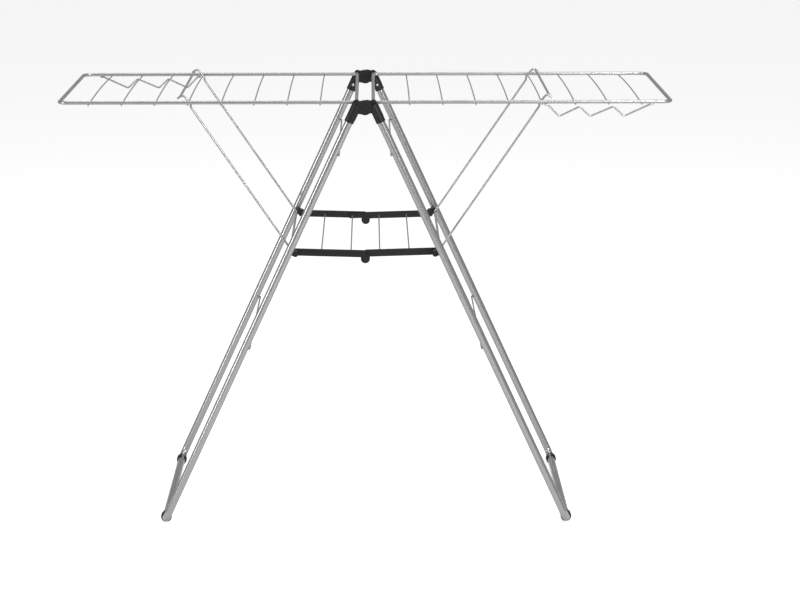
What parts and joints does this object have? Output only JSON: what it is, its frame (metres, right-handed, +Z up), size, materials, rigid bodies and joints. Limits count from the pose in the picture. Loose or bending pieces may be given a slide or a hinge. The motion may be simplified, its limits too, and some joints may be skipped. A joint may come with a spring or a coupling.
{
  "type": "clothes drying rack",
  "caption": "Folding gull-wing clothes drying rack: two hinged tube legs, two rod wings held level on hooked wire stays, and a folding middle shelf.",
  "frame": {"origin": "on the floor under the middle of the opened rack", "axes": "+X to the right along the wings, +Y to the back, +Z up"},
  "size_m": [1.39, 0.518, 1.0159],
  "materials": {
    "silver_tube": "satin silver powder coat",
    "silver_wire": "satin silver coat",
    "black_plastic": "fine-grained matte",
    "rivet_steel": "bright zinc"
  },
  "bodies": {
    "left_leg": {"left_foot_tube": "silver_tube", "left_upper_cross_rod": "silver_wire", "left_lower_cross_rod": "silver_wire", "left_front_leg_tube": "silver_tube", "left_front_foot_clip": "black_plastic", "left_front_hinge_half": "black_plastic", "left_front_sleeve_rivet": "rivet_steel", "left_front_shelf_bracket": "black_plastic", "left_back_leg_tube": "silver_tube", "left_back_foot_clip": "black_plastic", "left_back_hinge_half": "black_plastic", "left_back_sleeve_rivet": "rivet_steel", "left_back_shelf_bracket": "black_plastic", "front_hinge_pin": "rivet_steel", "back_hinge_pin": "rivet_steel"},
    "left_wing": {"left_wing_frame": "silver_tube", "left_hanger_rail": "silver_wire", "left_wing_rod_1": "silver_wire", "left_wing_rod_2": "silver_wire", "left_wing_rod_3": "silver_wire", "left_wing_rod_4": "silver_wire", "left_wing_rod_5": "silver_wire", "left_wing_rod_6": "silver_wire", "left_wing_rod_7": "silver_wire", "left_wing_rod_8": "silver_wire"},
    "left_stay": {"left_stay": "silver_wire"},
    "right_leg": {"right_foot_tube": "silver_tube", "right_upper_cross_rod": "silver_wire", "right_lower_cross_rod": "silver_wire", "right_front_leg_tube": "silver_tube", "right_front_foot_clip": "black_plastic", "right_front_hinge_half": "black_plastic", "right_front_sleeve_rivet": "rivet_steel", "right_front_shelf_bracket": "black_plastic", "right_back_leg_tube": "silver_tube", "right_back_foot_clip": "black_plastic", "right_back_hinge_half": "black_plastic", "right_back_sleeve_rivet": "rivet_steel", "right_back_shelf_bracket": "black_plastic"},
    "right_wing": {"right_wing_frame": "silver_tube", "right_hanger_rail": "silver_wire", "right_wing_rod_1": "silver_wire", "right_wing_rod_2": "silver_wire", "right_wing_rod_3": "silver_wire", "right_wing_rod_4": "silver_wire", "right_wing_rod_5": "silver_wire", "right_wing_rod_6": "silver_wire", "right_wing_rod_7": "silver_wire", "right_wing_rod_8": "silver_wire"},
    "right_stay": {"right_stay": "silver_wire"},
    "left_shelf": {"left_shelf_front_bar": "black_plastic", "left_shelf_back_bar": "black_plastic", "left_shelf_rod": "silver_wire", "front_knuckle_cap": "black_plastic", "back_knuckle_cap": "black_plastic"},
    "right_shelf": {"right_shelf_front_bar": "black_plastic", "right_shelf_back_bar": "black_plastic", "right_shelf_outer_rod": "silver_wire", "right_shelf_middle_rod": "silver_wire", "right_shelf_inner_rod": "silver_wire"}
  },
  "joints": [
    {"name": "leg_fold", "type": "hinge", "parent": "left_leg", "child": "right_leg", "pos_m": [0, 0, 0.991], "axis": [0, 1, 0], "range_deg": [0, 44.5]},
    {"name": "left_wing_fold", "type": "hinge", "parent": "left_leg", "child": "left_wing", "pos_m": [-0.019, 0, 1], "axis": [0, -1, 0], "range_deg": [0, 60]},
    {"name": "right_wing_fold", "type": "hinge", "parent": "right_leg", "child": "right_wing", "pos_m": [0.019, 0, 1], "axis": [0, 1, 0], "range_deg": [0, 60]},
    {"name": "left_stay_lean", "type": "hinge", "parent": "left_leg", "child": "left_stay", "pos_m": [-0.172, 0, 0.658], "axis": [0, -1, 0], "range_deg": [0, 12]},
    {"name": "right_stay_lean", "type": "hinge", "parent": "right_leg", "child": "right_stay", "pos_m": [0.172, 0, 0.658], "axis": [0, 1, 0], "range_deg": [0, 12]},
    {"name": "left_shelf_fold", "type": "hinge", "parent": "left_leg", "child": "left_shelf", "pos_m": [-0.16, 0, 0.653], "axis": [0, -1, 0], "range_deg": [0, 66.4]},
    {"name": "right_shelf_fold", "type": "hinge", "parent": "right_leg", "child": "right_shelf", "pos_m": [0.16, 0, 0.653], "axis": [0, 1, 0], "range_deg": [0, 66.4]}
  ],
  "couplings": [
    {"joint": "left_stay_lean", "follows": "left_wing_fold", "ratio": 0.2},
    {"joint": "right_stay_lean", "follows": "right_wing_fold", "ratio": 0.2},
    {"joint": "left_shelf_fold", "follows": "leg_fold", "ratio": 1.4894},
    {"joint": "right_shelf_fold", "follows": "leg_fold", "ratio": 1.4894}
  ]
}
